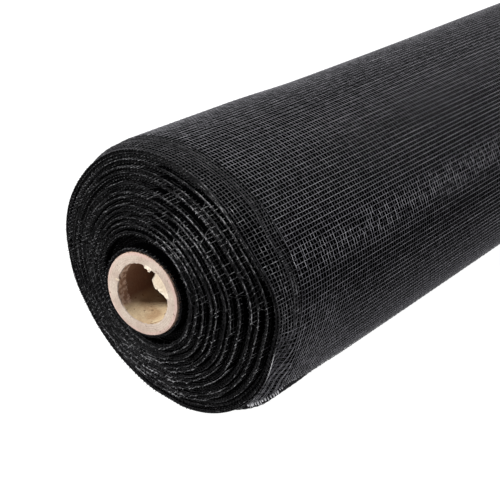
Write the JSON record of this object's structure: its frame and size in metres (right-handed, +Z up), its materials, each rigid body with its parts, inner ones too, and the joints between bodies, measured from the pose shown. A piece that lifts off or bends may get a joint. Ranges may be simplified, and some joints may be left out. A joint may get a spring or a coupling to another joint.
{
  "type": "roll of insect screen net",
  "caption": "Roll of fine black woven insect screen net wound on a cardboard core tube, lying on its side, with a loose end along its front.",
  "frame": {"origin": "bottom centre of the whole part's box, on the floor that the roll lies on", "axes": "X along the roll's axis, with the end whose inner turns stand out at -X; -Y is the side with the loose end; +Z up"},
  "size_m": [0.6184, 0.1066, 0.0968],
  "materials": {
    "net": "black coated yarn in an open plain weave, slight sheen",
    "core": "raw matt paper tube, cut ends"
  },
  "bodies": {
    "root": {"net_roll": "net", "net_loose_end": "net", "core_tube": "core"}
  },
  "joints": []
}
